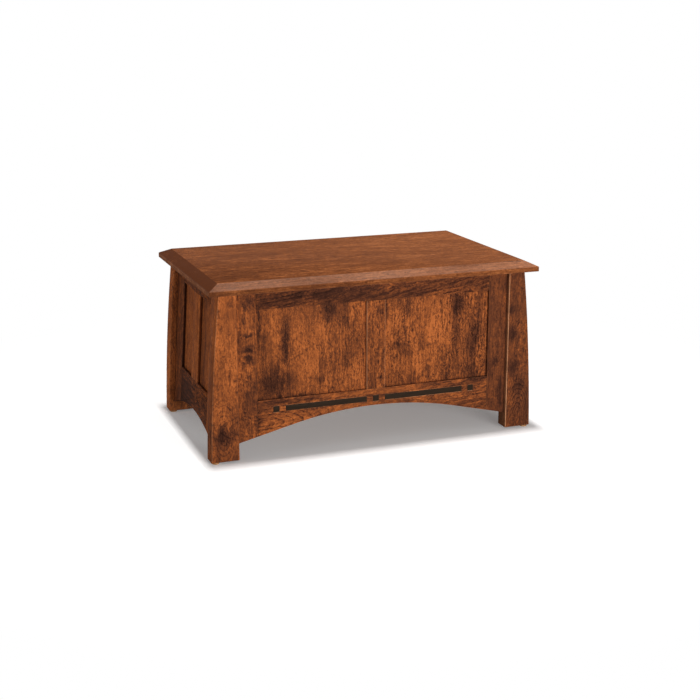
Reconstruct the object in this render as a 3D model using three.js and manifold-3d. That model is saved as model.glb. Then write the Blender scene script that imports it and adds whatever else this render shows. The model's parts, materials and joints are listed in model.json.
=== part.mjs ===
import * as THREE from 'three';
import { mergeVertices } from 'three/addons/utils/BufferGeometryUtils.js';
import Module from 'manifold-3d';

// A frame-and-panel blanket chest with flared posts and one wide lid on three friction hinges.
// Millimetres. X runs along the front, Y from the front to the back and Z up.
// The origin is on the floor under the middle of the chest.

// Whole chest
const overallHeight = 512;
const caseDepth = 562;
const footSpan = 988;
const fitGap = 0.3;
const cutOverrun = 20;

// Lid board: its overhangs count from the post tops at the ends and from the post faces elsewhere
const lidEndOverhang = 33;
const lidFaceOverhang = 25;
const lidThickness = 29.5;
const lidBevelWidth = 33;
const lidBevelDrop = 15.5;
const lidRestGap = 0.3;

// Battens under the lid
const battenWidth = 64;
const battenThickness = 18;
const battenEndSlope = 12;
const battenPostDistance = 153;
const battenRailClearance = 24;

// Posts: straight inside, bowed and flared outside
const postThickness = 48;
const postTopWidth = 49;
const postFootWidth = 81;
const postBelly = 5.3;
const postEdgeEase = 1.5;

// Frames: grooved stiles and rails round flat panels
const frameThickness = 22;
const frontSetback = 13;
const sideSetback = 14;
const topRailHeight = 53.5;
const panelSillHeight = 168;
const frontStileWidth = 58.5;
const frontCenterStileWidth = 56;
const sideStileWidth = 78;
const sideCenterStileWidth = 74;
const grooveInset = 7.5;
const grooveWidth = 7;
const grooveDepth = 9;
const stileTongueLength = 8;
const stileTongueStop = 14;

// Arches cut through the lower rails and the stile ends: the round crown takes a share of the span,
// and the lower rail keeps its narrowest height between the crown and the panel sill
const frontRailCrownHeight = 49.5;
const frontArchCrownShare = 0.5992;
const frontArchFlankAngle = THREE.MathUtils.degToRad(13.5);
const sideRailCrownHeight = 89;
const sideArchCrownShare = 0.9395;
const sideArchFlankAngle = THREE.MathUtils.degToRad(20);

// Ebony inlay in the front lower rail
const inlaySillDistance = 29;
const inlaySquareSize = 17;
const inlayStileDistance = 54.5;
const inlayGap = 20;
const inlayBarHeight = 15.5;
const inlayThickness = 4;
const inlayProud = 0.5;
const inlayEase = 0.5;

// Chest floor and the cleats that carry it
const floorSillDistance = 16;
const floorThickness = 12;
const cleatHeight = 20;
const cleatWidth = 20;

// Friction hinges under the back overhang of the lid
const hingeLength = 76;
const hingePostDistance = 83;
const hingeLeafThickness = 2;
const hingeBarrelRadius = 6.5;
const hingePinRadius = 3;
const hingePinHeadRadius = 4.6;
const hingePinHeadLength = 2;
const hingeCenterKnuckleShare = 0.42;
const caseLeafHeight = 40;
const lidLeafEdgeDistance = 1;

// Nail-on glides under the feet
const glideThickness = 5;
const glideRadius = 11;
const glideRimEase = 1.5;
const glideNailRadius = 1.5;
const glideNailLength = 16;
const glideEdgeDistance = 14;
const glideFaceDistance = 12.5;

// Steps along the round stretches
const postCurveSteps = 18;
const archSteps = 28;
const barrelSides = 24;
const glideSides = 28;

// Levels and faces that several pieces share
const footLevel = glideThickness;
const lidUnderside = overallHeight - lidThickness;
const caseTop = lidUnderside - lidRestGap;
const postHeight = caseTop - footLevel;
const postInnerX = footSpan / 2 - postFootWidth;
const postInnerY = caseDepth / 2 - postThickness;
const lidWidth = 2 * (postInnerX + postTopWidth + lidEndOverhang);
const lidDepth = caseDepth + 2 * lidFaceOverhang;
const tongueThickness = grooveWidth - 2 * fitGap;
const sideLean = Math.atan((postFootWidth - postTopWidth) / postHeight);
const inlayCenterHeight = panelSillHeight - inlaySillDistance;
const floorTopHeight = panelSillHeight - floorSillDistance;
const floorUnderside = floorTopHeight - floorThickness;
const hingeAxisY = caseDepth / 2 + fitGap + hingeBarrelRadius;
const hingeAxisZ = lidUnderside - fitGap - hingeBarrelRadius;

const oiledWood = { roughness: 0.42, metalness: 0 };
const topWood = new THREE.MeshStandardMaterial({ color: 0x8c5232, ...oiledWood });
const frameWood = new THREE.MeshStandardMaterial({ color: 0x7a4226, ...oiledWood });
const panelWood = new THREE.MeshStandardMaterial({ color: 0x8f4c28, ...oiledWood });
const postWood = new THREE.MeshStandardMaterial({ color: 0x8a4a2a, ...oiledWood });
const innerWood = new THREE.MeshStandardMaterial({ color: 0xb98a5c, roughness: 0.6, metalness: 0 });
const ebony = new THREE.MeshStandardMaterial({ color: 0x30241c, roughness: 0.4, metalness: 0 });
const brass = new THREE.MeshStandardMaterial({ color: 0xa88a4a, roughness: 0.35, metalness: 1 });
const glidePlastic = new THREE.MeshStandardMaterial({ color: 0xb9824b, roughness: 0.5, metalness: 0 });

const wasm = await Module();
wasm.setup();

// A closed mesh as a solid that can be joined and cut
function solidFrom(geometry) {
  const bare = geometry.clone();
  bare.deleteAttribute('normal');
  bare.deleteAttribute('uv');
  const merged = mergeVertices(bare);
  const vertProperties = new Float32Array(merged.attributes.position.array);
  const triVerts = new Uint32Array(merged.index.array);
  return new wasm.Manifold(new wasm.Mesh({ numProp: 3, vertProperties, triVerts }));
}

function geometryFrom(solid) {
  const { vertProperties, triVerts } = solid.getMesh();
  const geometry = new THREE.BufferGeometry();
  geometry.setAttribute('position', new THREE.BufferAttribute(vertProperties, 3));
  geometry.setIndex(new THREE.BufferAttribute(triVerts, 1));
  const flat = geometry.toNonIndexed();
  flat.computeVertexNormals();
  return flat;
}

function addPiece(parent, name, solid, material) {
  const mesh = new THREE.Mesh(geometryFrom(solid), material);
  mesh.name = name;
  parent.add(mesh);
  return mesh;
}

function block([x0, x1], [y0, y1], [z0, z1]) {
  const geometry = new THREE.BoxGeometry(x1 - x0, y1 - y0, z1 - z0);
  geometry.translate((x0 + x1) / 2, (y0 + y1) / 2, (z0 + z1) / 2);
  return solidFrom(geometry);
}

// An outline drawn in X and Z, given its thickness from y0 to y1, with eased arrises
function prismAlongY(outline, [y0, y1], ease = 0) {
  const geometry = new THREE.ExtrudeGeometry(new THREE.Shape(outline), {
    depth: y1 - y0 - 2 * ease,
    bevelEnabled: ease > 0,
    bevelThickness: ease,
    bevelSize: ease,
    bevelOffset: -ease,
    bevelSegments: 1,
  });
  geometry.rotateX(Math.PI / 2);
  geometry.translate(0, y1 - ease, 0);
  return solidFrom(geometry);
}

// An outline drawn in Y and Z, given its length from x0 to x1
function prismAlongX(outline, [x0, x1]) {
  const shape = new THREE.Shape(outline);
  const geometry = new THREE.ExtrudeGeometry(shape, { depth: x1 - x0, bevelEnabled: false });
  const turn = new THREE.Matrix4();
  turn.makeBasis(new THREE.Vector3(0, 1, 0), new THREE.Vector3(0, 0, 1), new THREE.Vector3(1, 0, 0));
  geometry.applyMatrix4(turn);
  geometry.translate(x0, 0, 0);
  return solidFrom(geometry);
}

function point(x, y) {
  return new THREE.Vector2(x, y);
}

// Points of an arc that bows out to the right of the straight line between two points
function bowedLine(from, to, belly, steps) {
  const chord = to.clone().sub(from);
  const length = chord.length();
  const radius = length ** 2 / (8 * belly) + belly / 2;
  const right = point(chord.y, -chord.x).divideScalar(length);
  const center = from.clone().add(to).divideScalar(2).addScaledVector(right, belly - radius);
  const start = from.clone().sub(center).angle();
  const end = to.clone().sub(center).angle();
  const turn = new THREE.Path().absarc(center.x, center.y, radius, start - 2 * Math.PI, end, false);
  return turn.getPoints(steps);
}

// Where a frame stands: its outer face is its local y = 0, and its local z starts at the foot level
function frameMatrix({ turn, reach, lean }) {
  const matrix = new THREE.Matrix4().makeRotationZ(turn);
  matrix.multiply(new THREE.Matrix4().makeTranslation(0, -reach, footLevel));
  matrix.multiply(new THREE.Matrix4().makeRotationX(-lean));
  return matrix;
}

// Height above the feet, measured along a leaning frame
function riseOf(frame, height) {
  return (height - footLevel) / Math.cos(frame.lean);
}

function topRiseOf(frame) {
  return riseOf(frame, caseTop) + frameThickness * Math.tan(frame.lean);
}

const frontFrame = {
  name: 'front', ends: ['left', 'right'], turn: 0, lean: 0,
  reach: caseDepth / 2 - frontSetback, halfSpan: postInnerX,
  stileWidth: frontStileWidth, centerWidth: frontCenterStileWidth,
  archCrest: panelSillHeight - frontRailCrownHeight,
  crownShare: frontArchCrownShare, flankAngle: frontArchFlankAngle,
};
const backFrame = {
  ...frontFrame,
  name: 'back', ends: ['right', 'left'], turn: Math.PI, reach: caseDepth / 2,
};
const leftFrame = {
  name: 'left', ends: ['back', 'front'], turn: -Math.PI / 2, lean: sideLean,
  reach: footSpan / 2 - sideSetback, halfSpan: postInnerY,
  stileWidth: sideStileWidth, centerWidth: sideCenterStileWidth,
  archCrest: panelSillHeight - sideRailCrownHeight,
  crownShare: sideArchCrownShare, flankAngle: sideArchFlankAngle,
};
const rightFrame = { ...leftFrame, name: 'right', ends: ['front', 'back'], turn: Math.PI / 2 };
const frames = [frontFrame, backFrame, leftFrame, rightFrame];

// Half the width of an arch's crown, and the radius that runs it smoothly into the flanks
function archCrown({ halfSpan, crownShare, flankAngle }) {
  const half = halfSpan * crownShare;
  return { half, radius: half / Math.sin(flankAngle) };
}

// Level of an arch's straight flank at a distance from the middle of its frame
function archFlankRise(frame, distance) {
  const { half, radius } = archCrown(frame);
  const crownDrop = radius * (1 - Math.cos(frame.flankAngle));
  const flankDrop = (distance - half) * Math.tan(frame.flankAngle);
  return riseOf(frame, frame.archCrest) - crownDrop - flankDrop;
}

// The space under a frame: a round crown that runs out into straight flanks
function archVoid(frame) {
  const { radius } = archCrown(frame);
  const center = riseOf(frame, frame.archCrest) - radius;
  const crown = new THREE.Path().absarc(0, center, radius,
    Math.PI / 2 + frame.flankAngle, Math.PI / 2 - frame.flankAngle, true).getPoints(archSteps);
  const flankEnd = frame.halfSpan + cutOverrun;
  const flankLevel = archFlankRise(frame, flankEnd);
  const outline = [point(-flankEnd, -cutOverrun), point(-flankEnd, flankLevel), ...crown,
    point(flankEnd, flankLevel), point(flankEnd, -cutOverrun)];
  return prismAlongY(outline, [-cutOverrun, frameThickness + cutOverrun]);
}

// What rises past the level top of the case on a leaning frame
function aboveCaseTop(frame) {
  const reach = frame.halfSpan + cutOverrun;
  const geometry = new THREE.BoxGeometry(2 * reach, 2 * reach, cutOverrun);
  geometry.translate(0, 0, cutOverrun / 2 + caseTop - footLevel);
  geometry.applyMatrix4(new THREE.Matrix4().makeRotationX(frame.lean));
  return solidFrom(geometry);
}

function levelTop(frame, solid) {
  return frame.lean > 0 ? solid.subtract(aboveCaseTop(frame)) : solid;
}

const faceToFace = [0, frameThickness];
const grooveSpan = [grooveInset, grooveInset + grooveWidth];
const tongueSpan = [grooveInset + fitGap, grooveInset + fitGap + tongueThickness];
const tenonLength = grooveDepth - fitGap;

function tongueFootRise(frame) {
  return archFlankRise(frame, frame.halfSpan) + stileTongueStop;
}

// An end stile runs down to the arch, takes the panel in a groove and keys into the post
function endStile(frame, side) {
  const outer = frame.halfSpan - fitGap;
  const inner = frame.halfSpan - frame.stileWidth;
  const top = topRiseOf(frame);
  const across = (a, b) => (side > 0 ? [a, b] : [-b, -a]);
  const body = block(across(inner, outer), faceToFace, [0, top]);
  const tongue = block(across(outer - fitGap, frame.halfSpan + stileTongueLength), tongueSpan,
    [tongueFootRise(frame), top]);
  const groove = block(across(inner - cutOverrun, inner + grooveDepth), grooveSpan,
    [-cutOverrun, top + cutOverrun]);
  return levelTop(frame, body.add(tongue).subtract(groove).subtract(archVoid(frame)));
}

// The slot in a post that an end stile's tongue slides into
function tongueSlot(frame, side) {
  const x = [frame.halfSpan - cutOverrun, frame.halfSpan + stileTongueLength + fitGap];
  const foot = tongueFootRise(frame) - fitGap;
  const height = topRiseOf(frame) + cutOverrun - foot;
  const geometry = new THREE.BoxGeometry(x[1] - x[0], grooveWidth, height);
  geometry.translate(side * (x[0] + x[1]) / 2, grooveInset + grooveWidth / 2, foot + height / 2);
  geometry.applyMatrix4(frameMatrix(frame));
  return solidFrom(geometry);
}

// A rail between the end stiles: a stub tenon at each end, and a groove along the panels' edge
function rail(frame, [low, high], grooveLevels) {
  const half = frame.halfSpan - frame.stileWidth - fitGap;
  const body = block([-half, half], faceToFace, [low, high]);
  const tenons = block([-half - tenonLength, half + tenonLength], tongueSpan, [low, high]);
  const groove = block([-half - cutOverrun, half + cutOverrun], grooveSpan, grooveLevels);
  return body.add(tenons).subtract(groove);
}

function topRail(frame) {
  const low = riseOf(frame, caseTop - topRailHeight);
  const grooveLevels = [low - cutOverrun, low + grooveDepth];
  return levelTop(frame, rail(frame, [low, topRiseOf(frame)], grooveLevels));
}

function bottomRail(frame) {
  const high = riseOf(frame, panelSillHeight);
  return rail(frame, [0, high], [high - grooveDepth, high + cutOverrun]).subtract(archVoid(frame));
}

function openingRises(frame) {
  return [riseOf(frame, panelSillHeight), riseOf(frame, caseTop - topRailHeight)];
}

function centerStile(frame) {
  const half = frame.centerWidth / 2;
  const [low, high] = openingRises(frame);
  const body = block([-half, half], faceToFace, [low + fitGap, high - fitGap]);
  const tenons = block([-half, half], tongueSpan, [low - tenonLength, high + tenonLength]);
  const levels = [low - cutOverrun, high + cutOverrun];
  const leftGroove = block([-half - cutOverrun, -half + grooveDepth], grooveSpan, levels);
  const rightGroove = block([half - grooveDepth, half + cutOverrun], grooveSpan, levels);
  return body.add(tenons).subtract(leftGroove).subtract(rightGroove);
}

function panel(frame, side) {
  const inner = frame.centerWidth / 2 - tenonLength;
  const outer = frame.halfSpan - frame.stileWidth + tenonLength;
  const [low, high] = openingRises(frame);
  const x = side > 0 ? [inner, outer] : [-outer, -inner];
  return block(x, tongueSpan, [low - tenonLength, high + tenonLength]);
}

const inlaySquareSpacing = postInnerX - frontStileWidth - inlayStileDistance;
const inlayBarLength = inlaySquareSpacing - inlaySquareSize - 2 * inlayGap;
const inlaySquares = [['left', -inlaySquareSpacing], ['center', 0], ['right', inlaySquareSpacing]];
const inlayBars = [['left', -inlaySquareSpacing / 2], ['right', inlaySquareSpacing / 2]];

function inlayOutline(x, length, height) {
  const z = inlayCenterHeight - footLevel;
  return [point(x - length / 2, z - height / 2), point(x + length / 2, z - height / 2),
    point(x + length / 2, z + height / 2), point(x - length / 2, z + height / 2)];
}

function inlayPocket(x, length, height) {
  const outline = inlayOutline(x, length + 2 * fitGap, height + 2 * fitGap);
  return prismAlongY(outline, [-cutOverrun, inlayThickness - inlayProud + fitGap]);
}

function inlayPiece(x, length, height) {
  const span = [-inlayProud, inlayThickness - inlayProud];
  return prismAlongY(inlayOutline(x, length, height), span, inlayEase);
}

function inlaidRail(frame) {
  let solid = bottomRail(frame);
  for (const [, x] of inlaySquares) {
    solid = solid.subtract(inlayPocket(x, inlaySquareSize, inlaySquareSize));
  }
  for (const [, x] of inlayBars) {
    solid = solid.subtract(inlayPocket(x, inlayBarLength, inlayBarHeight));
  }
  return solid;
}

function addInlay(group) {
  for (const [end, x] of inlaySquares) {
    addPiece(group, `inlay_square_${end}`, inlayPiece(x, inlaySquareSize, inlaySquareSize), ebony);
  }
  for (const [end, x] of inlayBars) {
    addPiece(group, `inlay_bar_${end}`, inlayPiece(x, inlayBarLength, inlayBarHeight), ebony);
  }
}

function buildFrame(frame) {
  const group = new THREE.Group();
  group.applyMatrix4(frameMatrix(frame));
  const inlaid = frame === frontFrame;
  const lowRail = inlaid ? inlaidRail(frame) : bottomRail(frame);
  addPiece(group, `${frame.name}_top_rail`, topRail(frame), frameWood);
  addPiece(group, `${frame.name}_bottom_rail`, lowRail, frameWood);
  addPiece(group, `${frame.name}_center_stile`, centerStile(frame), frameWood);
  frame.ends.forEach((end, index) => {
    const side = index === 0 ? -1 : 1;
    addPiece(group, `${frame.name}_${end}_stile`, endStile(frame, side), frameWood);
    addPiece(group, `${frame.name}_${end}_panel`, panel(frame, side), panelWood);
  });
  if (inlaid) addInlay(group);
  return group;
}

function glidePlace(sideX, sideY) {
  const x = sideX * (footSpan / 2 - glideEdgeDistance);
  const frontFace = sideY < 0 ? -caseDepth / 2 : postInnerY;
  return [x, frontFace + glideFaceDistance];
}

function nailHole(sideX, sideY) {
  const geometry = new THREE.CylinderGeometry(glideNailRadius + fitGap, glideNailRadius + fitGap,
    2 * (glideNailLength + fitGap), glideSides);
  geometry.rotateX(Math.PI / 2);
  const [x, y] = glidePlace(sideX, sideY);
  geometry.translate(x, y, footLevel);
  return solidFrom(geometry);
}

// A post: its outer edge bows and flares, and its inner faces take the tongues of two frames
function post(sideX, sideY) {
  const outerTop = point(postInnerX + postTopWidth, caseTop);
  const outerFoot = point(postInnerX + postFootWidth, footLevel);
  const curve = bowedLine(outerFoot, outerTop, postBelly, postCurveSteps);
  const outline = [point(postInnerX, caseTop), point(postInnerX, footLevel), ...curve];
  const mirrored = outline.map(({ x, y }) => point(sideX * x, y));
  const y = sideY < 0 ? [-caseDepth / 2, -postInnerY] : [postInnerY, caseDepth / 2];
  const longFrame = sideY < 0 ? frontFrame : backFrame;
  const endFrame = sideX < 0 ? leftFrame : rightFrame;
  const longSide = sideX * (sideY < 0 ? 1 : -1);
  const endSide = sideX * sideY;
  return prismAlongY(mirrored, y, postEdgeEase)
    .subtract(tongueSlot(longFrame, longSide))
    .subtract(tongueSlot(endFrame, endSide))
    .subtract(nailHole(sideX, sideY));
}

function glide(sideX, sideY) {
  const seat = glideThickness - fitGap;
  const profile = [point(0, 0), point(glideRadius - glideRimEase, 0), point(glideRadius, glideRimEase),
    point(glideRadius, seat), point(glideNailRadius, seat),
    point(glideNailRadius, seat + glideNailLength - glideNailRadius), point(0, seat + glideNailLength)];
  const geometry = new THREE.LatheGeometry(profile, glideSides);
  geometry.rotateX(Math.PI / 2);
  const [x, y] = glidePlace(sideX, sideY);
  geometry.translate(x, y, 0);
  return solidFrom(geometry);
}

function buildPosts() {
  const group = new THREE.Group();
  for (const [front, sideY] of [['front', -1], ['back', 1]]) {
    for (const [end, sideX] of [['left', -1], ['right', 1]]) {
      addPiece(group, `post_${front}_${end}`, post(sideX, sideY), postWood);
      addPiece(group, `glide_${front}_${end}`, glide(sideX, sideY), glidePlastic);
    }
  }
  return group;
}

const frontInnerFace = -frontFrame.reach + frameThickness;
const backInnerFace = backFrame.reach - frameThickness;

// Inner face of a side frame at a height above the floor
function sideInnerFace(height) {
  const outerFace = leftFrame.reach - (height - footLevel) * Math.tan(sideLean);
  return outerFace - frameThickness / Math.cos(sideLean);
}

// The floor board, notched round the four posts
function chestFloor() {
  const wide = sideInnerFace(floorTopHeight) - fitGap;
  const narrow = postInnerX - fitGap;
  const front = frontInnerFace + fitGap;
  const back = backInnerFace - fitGap;
  const notch = postInnerY - fitGap;
  const half = [point(narrow, back), point(narrow, notch), point(wide, notch),
    point(wide, -notch), point(narrow, -notch), point(narrow, front)];
  const mirrored = half.map(({ x, y }) => point(-x, y)).reverse();
  const geometry = new THREE.ExtrudeGeometry(new THREE.Shape([...half, ...mirrored]),
    { depth: floorThickness, bevelEnabled: false });
  geometry.translate(0, 0, floorUnderside);
  return solidFrom(geometry);
}

function longCleat(y) {
  const half = postInnerX - fitGap;
  const top = floorUnderside - fitGap;
  return block([-half, half], y, [top - cleatHeight, top]);
}

// A side cleat's outer face leans with the frame that it is screwed to
function endCleat(side) {
  const top = floorUnderside - fitGap;
  const low = top - cleatHeight;
  const inner = sideInnerFace(top) - cleatWidth;
  const outline = [point(side * inner, low), point(side * (sideInnerFace(low) - fitGap), low),
    point(side * (sideInnerFace(top) - fitGap), top), point(side * inner, top)];
  const half = postInnerY - fitGap;
  return prismAlongY(outline, [-half, half]);
}

function buildFloor() {
  const group = new THREE.Group();
  const frontFace = frontInnerFace + fitGap;
  const backFace = backInnerFace - fitGap;
  addPiece(group, 'chest_floor', chestFloor(), innerWood);
  addPiece(group, 'floor_cleat_front', longCleat([frontFace, frontFace + cleatWidth]), innerWood);
  addPiece(group, 'floor_cleat_back', longCleat([backFace - cleatWidth, backFace]), innerWood);
  addPiece(group, 'floor_cleat_left', endCleat(-1), innerWood);
  addPiece(group, 'floor_cleat_right', endCleat(1), innerWood);
  return group;
}

// Half of the lid's form: one width with its two upper edges bevelled
function bevelledOutline(width) {
  const half = width / 2;
  const edge = lidThickness - lidBevelDrop;
  return [point(-half, 0), point(half, 0), point(half, edge), point(half - lidBevelWidth, lidThickness),
    point(lidBevelWidth - half, lidThickness), point(-half, edge)];
}

// Crossing the two bevelled forms leaves the mitred hips at the lid's corners
function lidBoard() {
  const across = prismAlongY(bevelledOutline(lidWidth), [-lidDepth, lidDepth]);
  const along = prismAlongX(bevelledOutline(lidDepth), [-lidWidth, lidWidth]);
  return across.intersect(along);
}

function lidBatten() {
  const front = frontInnerFace + battenRailClearance;
  const back = backInnerFace - battenRailClearance;
  const outline = [point(front, 0), point(front + battenEndSlope, -battenThickness),
    point(back - battenEndSlope, -battenThickness), point(back, 0)];
  return prismAlongX(outline, [-battenWidth / 2, battenWidth / 2]);
}

// The stretch of a hinge that its lid leaf's knuckle fills
const centerKnuckle = hingeLength * hingeCenterKnuckleShare;
const lidLeafWidth = lidDepth / 2 - lidLeafEdgeDistance - hingeAxisY;
const knuckleRelief = hingeBarrelRadius + fitGap;
const pinHole = hingePinRadius + fitGap;

// A round stretch along the hinge axis. Each hinge piece has that axis as its own origin.
function barrel(radius, from, to) {
  const geometry = new THREE.CylinderGeometry(radius, radius, to - from, barrelSides);
  geometry.rotateZ(Math.PI / 2);
  geometry.translate((from + to) / 2, 0, 0);
  return solidFrom(geometry);
}

function caseLeaf() {
  const half = hingeLength / 2;
  const plate = block([-half, half], [-hingeBarrelRadius, -hingeBarrelRadius + hingeLeafThickness],
    [-caseLeafHeight, 0]);
  const relief = barrel(knuckleRelief, -centerKnuckle / 2 - fitGap, centerKnuckle / 2 + fitGap);
  return plate.add(barrel(hingeBarrelRadius, -half, half)).subtract(relief)
    .subtract(barrel(pinHole, -hingeLength, hingeLength));
}

function lidLeaf() {
  const half = hingeLength / 2;
  const levels = [hingeBarrelRadius - hingeLeafThickness, hingeBarrelRadius];
  const plate = block([-half, half], [0, lidLeafWidth], levels);
  const reliefs = barrel(knuckleRelief, -hingeLength, -centerKnuckle / 2)
    .add(barrel(knuckleRelief, centerKnuckle / 2, hingeLength));
  return plate.subtract(reliefs).add(barrel(hingeBarrelRadius, -centerKnuckle / 2, centerKnuckle / 2))
    .subtract(barrel(pinHole, -hingeLength, hingeLength));
}

function hingePin() {
  const seat = hingeLength / 2 + fitGap;
  const end = seat + hingePinHeadLength;
  return barrel(hingePinRadius, -end, end)
    .add(barrel(hingePinHeadRadius, -end, -seat))
    .add(barrel(hingePinHeadRadius, seat, end));
}

const hingeSpacing = postInnerX - hingePostDistance;
const hinges = [['left', -hingeSpacing], ['center', 0], ['right', hingeSpacing]];
const battenPlace = postInnerX - battenPostDistance;

function buildCaseHinges() {
  const group = new THREE.Group();
  for (const [end, x] of hinges) {
    const leaf = addPiece(group, `hinge_${end}_case_leaf`, caseLeaf(), brass);
    const pin = addPiece(group, `hinge_${end}_pin`, hingePin(), brass);
    leaf.position.set(x, hingeAxisY, hingeAxisZ);
    pin.position.set(x, hingeAxisY, hingeAxisZ);
  }
  return group;
}

function buildLid() {
  const group = new THREE.Group();
  addPiece(group, 'lid', lidBoard(), topWood).position.z = lidUnderside;
  for (const [end, side] of [['left', -1], ['right', 1]]) {
    const batten = addPiece(group, `lid_batten_${end}`, lidBatten(), innerWood);
    batten.position.set(side * battenPlace, 0, lidUnderside - fitGap);
  }
  for (const [end, x] of hinges) {
    const leaf = addPiece(group, `hinge_${end}_lid_leaf`, lidLeaf(), brass);
    leaf.position.set(x, hingeAxisY, hingeAxisZ);
  }
  return group;
}

const chest = new THREE.Group();
chest.add(buildPosts());
chest.add(...frames.map(buildFrame));
chest.add(buildFloor(), buildCaseHinges(), buildLid());

export default chest;
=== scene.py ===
"""A frame-and-panel blanket chest: stained boards with eased arrises, dark inlay, hinges and screws."""

import json
import math
import random

import bmesh
import bpy
from mathutils import Matrix, Vector


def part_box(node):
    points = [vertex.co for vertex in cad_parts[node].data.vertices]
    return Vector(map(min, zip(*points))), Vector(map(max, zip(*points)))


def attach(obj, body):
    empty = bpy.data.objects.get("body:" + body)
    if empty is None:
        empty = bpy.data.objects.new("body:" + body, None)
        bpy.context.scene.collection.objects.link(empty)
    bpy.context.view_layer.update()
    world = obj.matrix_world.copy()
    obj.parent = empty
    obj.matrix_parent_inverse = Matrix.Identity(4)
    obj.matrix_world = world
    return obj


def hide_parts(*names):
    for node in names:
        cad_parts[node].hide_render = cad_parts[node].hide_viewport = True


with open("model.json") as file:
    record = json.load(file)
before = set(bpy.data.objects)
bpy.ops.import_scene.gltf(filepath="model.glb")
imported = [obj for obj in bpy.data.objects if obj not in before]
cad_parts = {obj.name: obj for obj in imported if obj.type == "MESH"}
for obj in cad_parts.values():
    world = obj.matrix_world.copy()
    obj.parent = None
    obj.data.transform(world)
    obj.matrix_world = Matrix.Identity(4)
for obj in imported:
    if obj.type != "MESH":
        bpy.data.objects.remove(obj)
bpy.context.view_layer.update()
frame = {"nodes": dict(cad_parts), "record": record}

# Camera: it stands to the left of the front and above, and looks at a point just below the chest's middle
PICTURE_SIDE = 700
CAMERA_FOCUS_PIXELS = 1305.39117
CAMERA_TARGET = (0.02049, 0.0, 0.21307)
CAMERA_DISTANCE = 3.99424
CAMERA_TURN, CAMERA_PITCH, CAMERA_ROLL = -20.49516, 15.02934, -0.03223
SENSOR_WIDTH = 36.0

# Studio: each lamp has a level in watts, and a place and a size in metres. The floor has a radius, a number
# of sides, and two distances from the chest's middle between which it fades to white
SKY_LEVEL = 0.22
OVERHEAD_LEVEL, OVERHEAD_PLACE, OVERHEAD_SIZE = 1245.0, (-0.165, -0.07, 13.1), (0.71, 1.5)
FRONT_LAMP_LEVEL, FRONT_LAMP_PLACE, FRONT_LAMP_SIZE = 118.0, (0.9, -4.1, 0.62), (2.2, 0.8)
SIDE_LAMP_LEVEL, SIDE_LAMP_PLACE, SIDE_LAMP_SIZE = 27.0, (-4.2, -0.2, 0.62), (1.8, 0.8)
LAMP_AIM = (0.0, 0.0, 0.25)
FLOOR_RADIUS, FLOOR_SIDES, FLOOR_FADE = 14.0, 96, (0.95, 1.6)
FLOOR_ALBEDO, FLOOR_GLOW = (0.92, 0.915, 0.91, 1), (0.162, 0.154, 0.152, 1)
FLOOR_BOUNCE = (0.35, 0.35, 0.35, 1)
WHITE = (1, 1, 1, 1)

# Shapes: how the pieces' meshes are joined up, eased and smoothed
JOIN_DISTANCE = 1e-5
FLAT_ANGLE = math.radians(0.05)
EASE_ANGLE = math.radians(30)
EASE_STEPS = 2
SMOOTH_ANGLE = math.radians(32)

# Boards: where the pith lies beside and behind a board's middle, how far along the wood a board's or a
# stave's figure starts, how far painted shade reaches into corners and how dark it is, how dark the stain is
# round knots, and how far the grain stands out
BOARD_SEED = 11
PITH_SIDE, PITH_DEPTH = 0.04, (0.045, 0.1)
ALONG_SHIFT, STAVE_SHIFT = 40.0, 9.0
CORNER_REACH, CORNER_SHADE_DARKNESS, CORNER_OPEN_SHARES, CORNER_SAMPLES = 0.006, 0.5, (0.75, 0.25), 6
KNOT_RING_DARKNESS = 0.5
GRAIN_RELIEF, GRAIN_RELIEF_STRENGTH = 0.0004, 0.3

# How often each figure of the wood repeats in a metre: along the grain, across it and into the board
FIGURES = {
    "curl": (11.0, 26.0, 26.0), "wave": (2.2, 7.0, 7.0), "cloud": (7.0, 17.0, 17.0),
    "mottle": (58.0, 105.0, 105.0), "fleck": (150.0, 250.0, 250.0), "streak": (9.0, 230.0, 230.0),
    "fibre": (22.0, 900.0, 900.0),
}
CURL_REACH = (0.05, 0.026, 0.026)
RING_WIDTH, RING_TAPER, RING_WAVE, RING_SHARPNESS = 0.0085, 0.018, 0.055, 3.0

# Screws: a slot's width and length are in head radii, and the case leaves stand out from the back
SCREW_HEAD_HEIGHT, SCREW_HEAD_SIDES = 0.0007, 20
SCREW_SLOT_WIDTH, SCREW_SLOT_LENGTH, SCREW_SLOT_DEPTH = 0.24, 3.0, 0.9 * SCREW_HEAD_HEIGHT
HINGE_SCREW_RADIUS, HINGE_SCREW_COUNT, HINGE_SCREW_MARGIN = 0.0026, 4, 0.009
CASE_LEAF_STAND_OUT, CASE_LEAF_SCREW_RISES = 0.0023, (0.021, 0.009)
LID_LEAF_THICKNESS, LID_LEAF_SCREW_INSET = 0.002, 0.0048
WOOD_SCREW_RADIUS = 0.0042
BATTEN_SCREW_COUNT, BATTEN_SCREW_MARGIN, BATTEN_SCREW_STAGGER = 5, 0.045, 0.014
LONG_CLEAT_SCREW_COUNT, SHORT_CLEAT_SCREW_COUNT, CLEAT_SCREW_MARGIN = 6, 4, 0.05


def colour(code):
    """The linear colour of a six-figure colour code."""
    parts = [int(code[i:i + 2], 16) / 255 for i in (0, 2, 4)]
    return (*[p / 12.92 if p <= 0.04045 else ((p + 0.055) / 1.055) ** 2.4 for p in parts], 1.0)


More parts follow.
